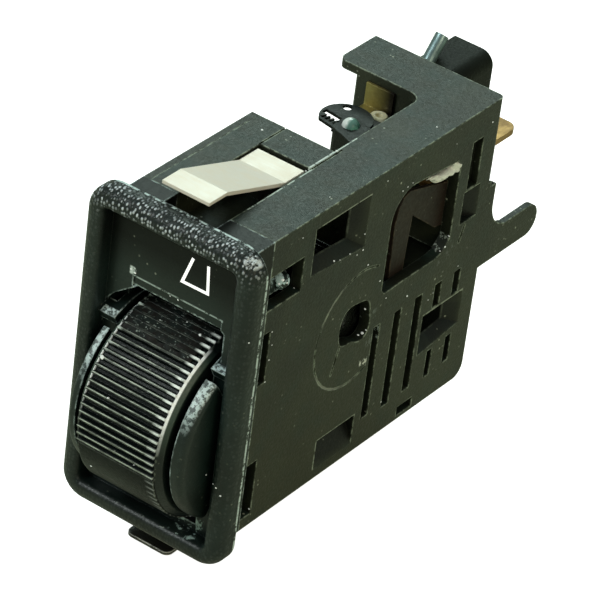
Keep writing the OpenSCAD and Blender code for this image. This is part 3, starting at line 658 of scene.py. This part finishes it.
def mouldedPlastic(spec):
    material, tree, place = startMaterial(spec["name"])
    parts = millimetres(tree, place)
    inputs = {"Vector": place, "Scale": patternScale(8.333), "Detail": 3.0, "Roughness": 0.6}
    broad = addNode(tree, "TexNoise", inputs)
    cloudy = addNode(tree, "MapRange", [broad, 0.35, 0.65])
    skin = paintOver(tree, hexColour(spec["dark"]), spec["light"], cloudy)
    # painted shade: darker deep in pockets and inside corners
    sunk = hollows(tree, 1.8)
    skin = paintOver(tree, skin, "#060706", sunk, spec["sink"])
    # the mould's grain is drawn a little coarser than it is, so that it shows
    inputs = {"Vector": place, "Scale": 0.6 * patternScale(spec["grainMm"]), "Detail": 3.0, "Roughness": 0.6}
    grain = addNode(tree, "TexNoise", inputs)
    inputs = {"Vector": place, "Scale": patternScale(1.111), "Detail": 4.0, "Roughness": 0.7}
    breaks = addNode(tree, "TexNoise", inputs)
    look = {"skin": skin, "height": overlap(tree, grain, spec["grain"]), "keep": 1.0, "glance": 1.0}
    if "overlay" in spec:
        look.update(overlays[spec["overlay"]](tree, place, parts, look, breaks, spec["rubbedAndSheenTone"]))
    # rubbed edges, broken up so that they come and go
    rub = [
        convexEdges(tree, 0.22),
        addNode(tree, "MapRange", [breaks, 0.44, 0.58, 0.08, 1.0]),
        look["keep"],
        spec["wear"],
    ]
    skin = paintOver(tree, look["skin"], spec["rubbedAndSheenTone"], *rub)
    # dust and crumbs, 0.2 to 0.4 mm, in loose groups
    inputs = {"Vector": place, "Scale": patternScale(1.0)}
    crumb = addNode(tree, "TexVoronoi", inputs, out="Distance", feature="F1")
    inputs = {"Vector": place, "Scale": patternScale(4.167), "Detail": 5.0, "Roughness": 0.75}
    groups = addNode(tree, "TexNoise", inputs)
    dust = [
        addNode(tree, "MapRange", [crumb, 0.2, 0.1]),
        addNode(tree, "MapRange", [groups, 0.55, 0.66, 0.0, spec["dust"]]),
    ]
    skin = paintOver(tree, skin, "#ccd0bd", *dust)
    soft = addNode(tree, "Bevel", {"Radius": 0.2 * mm}, samples=4)
    inputs = {"Height": look["height"], "Strength": 0.9, "Distance": 0.22 * mm, "Normal": soft}
    relief = addNode(tree, "Bump", inputs)
    gloss = addNode(tree, "MapRange", [grain, 0.3, 0.7, spec["rough"] - 0.07, spec["rough"] + 0.1])
    shine = addNode(tree, "MapRange", [sunk, 0.0, 0.9, spec["shine"], spec["shine"] * 0.25])
    shine = overlap(tree, shine, look["glance"])
    inputs = {"Base Color": skin, "Roughness": gloss, "Specular IOR Level": shine, "Normal": relief}
    # painted glints: the bright rib ends and the bevel's edge glow a little
    if "glint" in look:
        inputs["Emission Color"] = hexColour("#eef6f0")
        inputs["Emission Strength"] = overlap(tree, look["glint"], 0.3)
    endMaterial(tree, inputs)
    return material


metals = {
    # plated spring steel, rolled: the upper clip painted pale and satin, a painted reflection of the bright
    # room, the lower one painted black, a painted reflection of the dark underside of the body, with bright
    # cut edges; streakMm is the streaks' size along X, Y and Z, a little coarser than the real ones, so that
    # they show
    "upper_clip": {
        "name": "platedSpringSteel", "bright": "#fff6ec", "dull": "#fceedd",
        "metal": 0.15, "rough": 0.48, "streakMm": (4.1667, 0.27778, 0.27778), "bump": 0.12,
    },
    # painted near black: a painted reflection of the dark underside of the body
    "lower_clip": {
        "name": "platedSpringSteelLower", "bright": "#2b2825", "dull": "#161412",
        "metal": 0.3, "rough": 0.3, "streakMm": (4.1667, 0.27778, 0.27778), "bump": 0.12, "edge": "#e8e4da",
    },
    # stamped brass, tarnished unevenly; painted shade and a fading painted reflection darken the strip
    # towards its right end, given in mm
    "contact_strip": {
        "name": "stampedBrass", "bright": "#a3975c", "dull": "#8b7d48",
        "metal": 0.6, "rough": 0.4, "streakMm": (0.5, 0.5, 0.5), "bump": 0.2,
        "shadeFade": (-4.4, -1.6, "#1d1710"),
    },
    # rivet spun from thin brass: pale and smooth, hardly tarnished
    "contact_eyelet": {
        "name": "spunBrass", "bright": "#fff9e0", "dull": "#f0e4b4",
        "metal": 0.1, "rough": 0.3, "streakMm": (0.41667, 0.41667, 0.41667), "bump": 0.15,
    },
    # blades cut from rolled brass: dull gold with faint lines along them
    "feed_blade": {
        "name": "rolledBrassBlade", "bright": "#b08a50", "dull": "#7d5f38",
        "metal": 0.6, "rough": 0.4, "streakMm": (0.41667, 2.0833, 0.41667), "bump": 0.2,
    },
    "return_blade": {
        "name": "rolledBrassReturn", "bright": "#c9ab74", "dull": "#8e7145",
        "metal": 0.9, "rough": 0.36, "streakMm": (0.41667, 2.0833, 0.41667), "bump": 0.2,
    },
    "earth_blade": {
        "name": "rolledBrassEarth", "bright": "#c9ab74", "dull": "#8e7145",
        "metal": 0.9, "rough": 0.36, "streakMm": (0.41667, 2.0833, 0.41667), "bump": 0.2,
    },
    # hard spring brass, kept bright by its own rubbing
    "wiper": {
        "name": "springBrass", "bright": "#d8bb7c", "dull": "#9a7a48",
        "metal": 0.95, "rough": 0.3, "streakMm": (0.5, 0.5, 0.5), "bump": 0.15,
    },
    # drawn steel pins: grey with fine lines along them; the rear one is zinc plated and bluish
    "wheel_axle": {
        "name": "drawnSteelAxle", "bright": "#a9aba8", "dull": "#7d7f7c",
        "metal": 1.0, "rough": 0.3, "streakMm": (4.1667, 0.16667, 0.16667), "bump": 0.1,
    },
    "rotor_shaft": {
        "name": "drawnSteelShaft", "bright": "#a9aba8", "dull": "#7d7f7c",
        "metal": 1.0, "rough": 0.3, "streakMm": (4.1667, 0.16667, 0.16667), "bump": 0.1,
    },
    "rear_pin": {
        "name": "zincedPin", "bright": "#8fa6a8", "dull": "#5d7072",
        "metal": 0.7, "rough": 0.38, "streakMm": (0.27778, 0.83333, 0.83333), "bump": 0.15,
    },
    # tin-lead solder, chilled in pale lumps
    "solder_joint": {
        "name": "chilledSolder", "bright": "#fffff8", "dull": "#f0f0e6",
        "metal": 0.05, "rough": 0.3, "streakMm": (0.27778, 0.27778, 0.27778), "bump": 0.5,
    },
}


def stampedMetal(spec):
    # streaks of rolling or drawing, and stains over them
    material, tree, place = startMaterial(spec["name"])
    fineness = [patternScale(size) for size in spec["streakMm"]]
    lines = addNode(tree, "Mapping", {"Vector": place, "Scale": fineness})
    streaks = addNode(tree, "TexNoise", {"Vector": lines, "Scale": 1.0, "Detail": 4.0, "Roughness": 0.65})
    inputs = {"Vector": place, "Scale": patternScale(2.381), "Detail": 5.0, "Roughness": 0.7}
    stains = addNode(tree, "TexNoise", inputs)
    both = addNode(tree, "Mix", {0: 0.4, 2: stains, 3: streaks}, data_type="FLOAT")
    tarnish = addNode(tree, "MapRange", [both, 0.38, 0.66])
    skin = paintOver(tree, hexColour(spec["bright"]), spec["dull"], tarnish)
    # painted shade and reflection: darker along X towards the given end
    if "shadeFade" in spec:
        start, end, tone = spec["shadeFade"]
        along = millimetres(tree, place)["X"]
        skin = paintOver(tree, skin, tone, addNode(tree, "MapRange", [along, start, end]))
    if "edge" in spec:
        broken = addNode(tree, "MapRange", [stains, 0.4, 0.5, 0.3, 1.0])
        skin = paintOver(tree, skin, spec["edge"], convexEdges(tree, 0.2), broken)
    soft = addNode(tree, "Bevel", {"Radius": 0.12 * mm}, samples=4)
    inputs = {"Height": both, "Strength": spec["bump"], "Distance": 0.12 * mm, "Normal": soft}
    relief = addNode(tree, "Bump", inputs)
    gloss = addNode(tree, "MapRange", [both, 0.35, 0.7, spec["rough"] - 0.06, spec["rough"] + 0.14])
    endMaterial(tree, {"Base Color": skin, "Metallic": spec["metal"], "Roughness": gloss, "Normal": relief})
    return material


def firedCeramic():
    # steatite former, pressed and fired: chalky cream with fine pores
    material, tree, place = startMaterial("firedSteatite")
    inputs = {"Vector": place, "Scale": patternScale(0.4545), "Detail": 4.0, "Roughness": 0.7}
    pores = addNode(tree, "TexNoise", inputs)
    skin = paintOver(tree, hexColour("#b9b09b"), "#d8d0bd", pores)
    relief = addNode(tree, "Bump", {"Height": pores, "Strength": 0.4, "Distance": 0.08 * mm})
    endMaterial(tree, {"Base Color": skin, "Roughness": 0.7, "Normal": relief})
    return material


bulbLow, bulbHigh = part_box("bulb")
bulbX = (bulbLow[0] + bulbHigh[0]) / 2 / mm
bulbY = (bulbLow[1] + bulbHigh[1]) / 2 / mm


def blownGlass():
    # clear blown glass of a small lamp, faintly green, a slight wave in its skin
    material, tree, place = startMaterial("blownLampGlass")
    wave = addNode(tree, "TexNoise", {"Vector": place, "Scale": patternScale(2.0), "Detail": 1.0})
    relief = addNode(tree, "Bump", {"Height": wave, "Strength": 0.2, "Distance": 0.1 * mm})
    skin = paintOver(tree, hexColour("#6fb5a5"), "#a9d8cc", wave)
    # painted highlight on the dome's front left: pale there, and less clear
    parts = millimetres(tree, place)
    paleHighlight = overlap(
        tree,
        addNode(tree, "MapRange", [parts["X"], bulbX + 0.3, bulbX - 0.2]),
        addNode(tree, "MapRange", [parts["Y"], bulbY + 0.9, bulbY + 0.4]),
    )
    skin = paintOver(tree, skin, "#fafefc", paleHighlight)
    clear = addNode(tree, "Math", [0.55, overlap(tree, paleHighlight, 0.5)], operation="SUBTRACT")
    inputs = {"Base Color": skin, "Roughness": 0.05, "IOR": 1.5, "Transmission Weight": clear}
    inputs.update({"Coat Weight": 0.6, "Coat Roughness": 0.03, "Normal": relief})
    endMaterial(tree, inputs)
    return material


def woundWire():
    # copper-nickel resistance wire, drawn and oxidised brown by heat
    material, tree, place = startMaterial("oxidisedCopperNickel")
    heat = addNode(tree, "TexNoise", {"Vector": place, "Scale": patternScale(2.857), "Detail": 3.0})
    skin = paintOver(tree, hexColour("#6d4b36"), "#a98766", heat)
    relief = addNode(tree, "Bump", {"Height": heat, "Strength": 0.1, "Distance": 0.05 * mm})
    endMaterial(tree, {"Base Color": skin, "Metallic": 0.9, "Roughness": 0.38, "Normal": relief})
    return material


def padPrint():
    # white pad-printed ink, slightly raised and thin in spots
    material, tree, place = startMaterial("whitePadInk")
    thin = addNode(tree, "TexNoise", {"Vector": place, "Scale": patternScale(0.6667), "Detail": 3.0})
    skin = paintOver(tree, hexColour("#f6f6f0"), "#e4e6dc", thin)
    relief = addNode(tree, "Bump", {"Height": thin, "Strength": 0.15, "Distance": 0.03 * mm})
    inputs = {"Base Color": skin, "Roughness": 0.5, "Normal": relief}
    # painted light: the ink glows a little, so that it stays bright
    inputs.update({"Emission Color": hexColour("#fcfcfa"), "Emission Strength": 0.85})
    endMaterial(tree, inputs)
    return material


def dress(name, material):
    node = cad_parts[name]
    if not node.material_slots:
        node.data.materials.append(material)
    for entry in node.material_slots:
        entry.material = material


for name, spec in mouldings.items():
    dress(name, mouldedPlastic(spec))
for name, spec in metals.items():
    dress(name, stampedMetal(spec))
dress("resistor_former", firedCeramic())
dress("bulb", blownGlass())
dress("resistance_winding", woundWire())
print("materials on")


def newPiece(name, bm, material, body):
    mesh = bpy.data.meshes.new(name)
    bm.to_mesh(mesh)
    bm.free()
    piece = bpy.data.objects.new(name, mesh)
    scene.collection.objects.link(piece)
    mesh.materials.append(material)
    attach(piece, body)
    return piece


ribFill = {
    "from": -14,  # degrees from the top, round to the front
    "to": 33,
    "left": -5.7,  # X, mm
    "right": 4.9,
    "reach": 13.4,
    "floor": 12.95,
    "under": 0.08,  # how far it reaches below the floor, mm
    "unevenness": 0.02,
    "waver": 5,  # how far its front end comes and goes, degrees
    "slope": 4,  # how far it takes to sink there, degrees
    "ends": 0.35,  # share of its height at its left and right ends
    "thinLeft": 2,  # columns over which it thins out there
    "thinRight": 4,
    "steps": 110,
    "across": 34,
}


def darkRibFill():
    # a dull brown fill packed between the ribs, with small pale specks
    material, tree, place = startMaterial("darkRibFill")
    inputs = {"Vector": place, "Scale": patternScale(2.0), "Detail": 4.0, "Roughness": 0.65}
    broad = addNode(tree, "TexNoise", inputs)
    inputs = {"Vector": place, "Scale": patternScale(0.3846), "Detail": 2.0, "Roughness": 0.6}
    fine = addNode(tree, "TexNoise", inputs)
    skin = paintOver(tree, hexColour("#1a1613"), "#1c2422", addNode(tree, "MapRange", [broad, 0.4, 0.6]))
    dustAndGlintSpecks = [
        addNode(tree, "MapRange", [fine, 0.6, 0.68]),
        addNode(tree, "MapRange", [broad, 0.45, 0.58]),
    ]
    skin = paintOver(tree, skin, "#c3d0c8", 0.7, *dustAndGlintSpecks)
    both = addNode(tree, "Mix", {0: 0.4, 2: broad, 3: fine}, data_type="FLOAT")
    relief = addNode(tree, "Bump", {"Height": both, "Strength": 0.6, "Distance": 0.1 * mm})
    endMaterial(tree, {"Base Color": skin, "Roughness": 0.6, "Specular IOR Level": 0.25, "Normal": relief})
    return material


def fillRibs(spec):
    # a sheet with a thickness, bent round the wheel: its skin stands a little under the crests and sinks
    # between them at its ragged front end
    bm = bmesh.new()
    bmesh.ops.create_grid(bm, x_segments=spec["across"], y_segments=spec["steps"], size=0.5)
    grown = bmesh.ops.extrude_face_region(bm, geom=list(bm.faces))
    skin = [v for v in grown["geom"] if isinstance(v, bmesh.types.BMVert)]
    bmesh.ops.translate(bm, vec=(0, 0, 1), verts=skin)
    for v in bm.verts:
        sideways, share, top = v.co.x + 0.5, v.co.y + 0.5, v.co.z > 0.5
        x = spec["left"] + (spec["right"] - spec["left"]) * sideways
        angle = spec["from"] + (spec["to"] - spec["from"]) * share
        reach = spec["floor"] - spec["under"]
        if top:
            rough = noise.noise(Vector((x * 0.9, share * 18.0, 3.1)))
            wave = noise.noise(Vector((x * 0.8, 7.7, 1.3)))
            ragged = spec["to"] - spec["waver"] + spec["waver"] * wave
            sink = max(0.0, min(1.0, (angle - ragged) / spec["slope"]))
            column = sideways * spec["across"]
            end = min(1.0, (spec["across"] - column) / spec["thinRight"], column / spec["thinLeft"] + 0.3)
            tall = spec["ends"] + (1 - spec["ends"]) * end
            rise = (spec["reach"] - spec["floor"]) * (1 - sink) * tall
            reach = spec["floor"] + rise + spec["unevenness"] * rough
        turn = radians(angle)
        y = wheelAxis[0] - reach * sin(turn)
        z = wheelAxis[1] + reach * cos(turn)
        v.co = (x * mm, y * mm, z * mm)
    bmesh.ops.recalc_face_normals(bm, faces=bm.faces)
    piece = newPiece("fillBetweenRibs", bm, darkRibFill(), "wheel")
    for face in piece.data.polygons:
        face.use_smooth = True


fillRibs(ribFill)

coil = {
    "start": -16,  # degrees from +Y towards +Z, about the rotor's axis
    "sweep": 200,
    "turns": 72,
    "wire": 0.13,  # radius, mm
    "wireSides": 6,
    "ringSteps": 16,
    "corner": 0.3,
    "inner": 5.5,
    "outer": 7.5,
    "left": -6.15,
    "right": -3.02,
}


def windResistor(spec):
    # one closed turn of wire: a ring whose quarters are pulled to the corners of the former's section, bent
    # round the rotor's axis and repeated
    bm = bmesh.new()
    halfRadial = (spec["outer"] - spec["inner"]) / 2 - spec["corner"]
    halfWide = (spec["right"] - spec["left"]) / 2 - spec["corner"]
    middle = (spec["outer"] + spec["inner"]) / 2
    centre = (spec["left"] + spec["right"]) / 2
    start = Matrix.Rotation(pi / spec["ringSteps"], 4, "Z") @ Matrix.Translation((spec["corner"], 0, 0))
    upright = Matrix.Rotation(pi / 2, 4, "X") @ Matrix.Rotation(pi / spec["wireSides"], 4, "Z")
    bmesh.ops.create_circle(bm, segments=spec["wireSides"], radius=spec["wire"], matrix=start @ upright)
    bmesh.ops.spin(
        bm,
        geom=list(bm.verts) + list(bm.edges),
        cent=(0, 0, 0),
        axis=(0, 0, 1),
        angle=2 * pi,
        steps=spec["ringSteps"],
        use_merge=True,
    )
    half = radians(spec["sweep"] / spec["turns"] / 2)
    for v in bm.verts:
        x = centre + v.co.x + (halfWide if v.co.x > 0 else -halfWide)
        r = middle + v.co.y + (halfRadial if v.co.y > 0 else -halfRadial)
        swing = radians(spec["start"]) + half + v.co.z / middle
        v.co = (x * mm, (rotorAxis[0] + r * cos(swing)) * mm, (rotorAxis[1] + r * sin(swing)) * mm)
    bmesh.ops.spin(
        bm,
        geom=list(bm.verts) + list(bm.edges) + list(bm.faces),
        cent=(0, rotorAxis[0] * mm, rotorAxis[1] * mm),
        axis=(1, 0, 0),
        angle=2 * half * (spec["turns"] - 1),
        steps=spec["turns"] - 1,
        use_duplicate=True,
    )
    bmesh.ops.recalc_face_normals(bm, faces=bm.faces)
    piece = newPiece("woundTurns", bm, woundWire(), "body")
    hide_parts("resistance_winding")
    for face in piece.data.polygons:
        face.use_smooth = True


windResistor(coil)
print("grime and winding done")

solder = {
    "ripple": 0.09,  # mm
    "rippleScale": 1600.0,  # waves in a metre
    "melt": 0.11,  # cell of the remesh, mm
    "settle": 3,  # rounds of smoothing
    # centre and radii along X, Y and Z, mm: a body over the blade's end, a thin tail to the front, and a
    # hooked end
    "lumps": [
        ((8.8, 42.9, 13.75), (0.75, 1.25, 0.62)),
        ((8.85, 44.1, 13.8), (0.8, 1.0, 0.7)),
        ((8.8, 41.7, 13.85), (0.6, 1.0, 0.5)),
        ((8.9, 40.5, 14.35), (0.3, 0.9, 0.26)),
        ((9.05, 39.4, 14.8), (0.16, 0.9, 0.13)),
        ((9.25, 44.5, 14.5), (0.4, 0.45, 0.5)),
        ((9.4, 44.3, 15.2), (0.28, 0.3, 0.42)),
        ((9.6, 44.6, 14.9), (0.33, 0.33, 0.33)),
        ((9.75, 45.0, 14.6), (0.3, 0.35, 0.42)),
        ((9.6, 44.9, 13.9), (0.33, 0.4, 0.4)),
        ((8.1, 43.3, 13.1), (0.9, 2.0, 0.7)),
        ((7.6, 45.1, 12.8), (0.8, 1.4, 0.6)),
    ],
}


def pourSolder(spec):
    # lumps melted into one by a fine remesh and a light smoothing
    bm = bmesh.new()
    for centre, radii in spec["lumps"]:
        shape = Matrix.Translation(Vector(centre) * mm) @ Matrix.Diagonal((*(r * mm for r in radii), 1.0))
        bmesh.ops.create_icosphere(bm, subdivisions=3, radius=1.0, matrix=shape)
    for v in bm.verts:
        push = noise.noise(v.co * spec["rippleScale"]) * spec["ripple"] * mm
        v.co += v.normal * push
    piece = newPiece("solderBead", bm, stampedMetal(metals["solder_joint"]), "body")
    remesh = piece.modifiers.new("melt", "REMESH")
    remesh.mode = "VOXEL"
    remesh.voxel_size = spec["melt"] * mm
    remesh.use_smooth_shade = True
    relax = piece.modifiers.new("settle", "SMOOTH")
    relax.iterations = spec["settle"]
    relax.factor = 0.5
    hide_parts("solder_joint")


pourSolder(solder)
print("solder done")

dust = {
    "flat": 0.8,  # width to length
    "thick": 0.22,  # height to length
    "ragged": 0.5,
    "raggedScale": 4000.0,  # waves in a metre
    # column and row in the photo, and size in mm: white specks where the photo shows them; those in the hole
    # over the rotor, in the notch beside the bezel and in the rear side window are painted glints
    "dustAndGlintSpecks": [
        (334, 261, 0.32), (340, 260, 0.16), (350, 254, 0.22), (357, 255, 0.22), (363, 250, 0.26),
        (365, 234, 0.18), (368, 265, 0.28), (380, 281, 0.28), (407, 296, 0.34), (386, 298, 0.2),
        (365, 309, 0.3), (362, 333, 0.42), (358, 335, 0.3), (366, 330, 0.22), (381, 402, 0.22),
        (303, 238, 0.2), (449, 236, 0.3), (445, 247, 0.34), (440, 251, 0.2), (437, 127, 0.24),
        (493, 122, 0.24), (262, 130, 0.34), (457, 144, 0.18), (337, 151, 0.3), (283, 280, 0.4),
        (287, 283, 0.26), (279, 284, 0.26), (277, 293, 0.34), (294, 288, 0.2), (272, 332, 0.18),
        (272, 345, 0.2), (269, 360, 0.22), (265, 382, 0.26), (200, 335, 0.4), (102, 357, 0.6),
        (108, 398, 0.36), (249, 343, 0.24), (252, 398, 0.28), (91, 466, 0.3), (134, 465, 0.22),
        (249, 509, 0.26), (206, 475, 0.2), (216, 488, 0.26), (220, 496, 0.26), (213, 484, 0.2),
        (131, 269, 0.26), (135, 273, 0.34), (178, 300, 0.22), (170, 296, 0.2), (160, 320, 0.18),
        (187, 322, 0.18), (330, 197, 0.18), (388, 181, 0.18), (306, 171, 0.22), (403, 191, 0.2),
        (408, 187, 0.2), (413, 183, 0.18), (458, 266, 0.16), (428, 300, 0.2), (433, 293, 0.18),
    ],
}
moving = {"thumbwheel": "wheel", "fillBetweenRibs": "wheel", "rotor": "rotor", "wiper": "rotor"}


def paleDustAndGlints():
    # chips of white dust and flash that cling to the moulding, chalky; some stand for painted glints
    material, tree, place = startMaterial("paleDustAndGlintChips")
    chalk = addNode(tree, "TexNoise", {"Vector": place, "Scale": patternScale(0.3333), "Detail": 2.0})
    skin = paintOver(tree, hexColour("#f4f6f0"), "#dfe6e2", chalk)
    relief = addNode(tree, "Bump", {"Height": chalk, "Strength": 0.4, "Distance": 0.05 * mm})
    inputs = {"Base Color": skin, "Roughness": 0.55, "Normal": relief}
    # painted light: the chips glow a little
    inputs.update({"Emission Color": hexColour("#f4f8f4"), "Emission Strength": 0.25})
    endMaterial(tree, inputs)
    return material


def scatterDustAndGlints(spec):
    # each speck lies flat where the camera's ray through its pixel meets the object
    bpy.context.view_layer.update()
    seen = bpy.context.evaluated_depsgraph_get()
    made = {"body": bmesh.new(), "wheel": bmesh.new()}
    for column, row, size in spec["dustAndGlintSpecks"]:
        start, way = rayThrough(view, column, row)
        hit, spot, normal, face, thing, turn = scene.ray_cast(seen, start, way)
        if not hit or thing.name == "floor":
            continue
        body = moving.get(thing.name, "body")
        if body not in made:  # none lies on the rotor
            continue
        lie = normal.to_track_quat("Z", "Y").to_matrix().to_4x4()
        half = size * mm / 2
        shape = Matrix.Diagonal((half, half * spec["flat"], size * mm * spec["thick"], 1.0))
        speck = bmesh.ops.create_icosphere(
            made[body], subdivisions=2, radius=1.0, matrix=Matrix.Translation(spot) @ lie @ shape
        )
        for v in speck["verts"]:
            v.co += (v.co - spot) * spec["ragged"] * noise.noise(v.co * spec["raggedScale"])
    material = paleDustAndGlints()
    for body, bm in made.items():
        newPiece("dustAndGlintChips" + body.capitalize(), bm, material, body)


scatterDustAndGlints(dust)
print("dust chips done")

mark = {
    "face": -0.6,  # Y of the recessed panel, mm
    "gap": 0.004,
    "stroke": 0.4,
    "thick": 0.03,
    "sharpest": 0.3,  # keeps a mitre from growing long
    "corners": [(2.3, 17.9), (1.05, 14.05), (4.9, 14.1), (4.6, 17.85)],  # X and Z, open at the top
}


def printMark(spec):
    # a plain tapered channel, drawn as one mitred stroke
    points = [Vector(p) for p in spec["corners"]]
    half = spec["stroke"] / 2
    sides = []
    for i, p in enumerate(points):
        before = (p - points[i - 1]).normalized() if i else (points[1] - p).normalized()
        after = (points[i + 1] - p).normalized() if i < len(points) - 1 else before
        across = Vector((-(before + after).y, (before + after).x)).normalized()
        reach = half / max(spec["sharpest"], across.dot(Vector((-before.y, before.x))))
        sides.append((p + across * reach, p - across * reach))
    bm = bmesh.new()
    y = spec["face"] - spec["gap"]
    rows = [[bm.verts.new((s.x * mm, y * mm, s.y * mm)) for s in pair] for pair in sides]
    for a, b in zip(rows, rows[1:]):
        bm.faces.new((a[0], b[0], b[1], a[1]))
    bmesh.ops.recalc_face_normals(bm, faces=bm.faces)
    grown = bmesh.ops.extrude_face_region(bm, geom=list(bm.faces))
    front = [v for v in grown["geom"] if isinstance(v, bmesh.types.BMVert)]
    bmesh.ops.translate(bm, vec=(0, -spec["thick"] * mm, 0), verts=front)
    bmesh.ops.recalc_face_normals(bm, faces=bm.faces)
    newPiece("printedMark", bm, padPrint(), "body")


printMark(mark)
print("printed mark done")
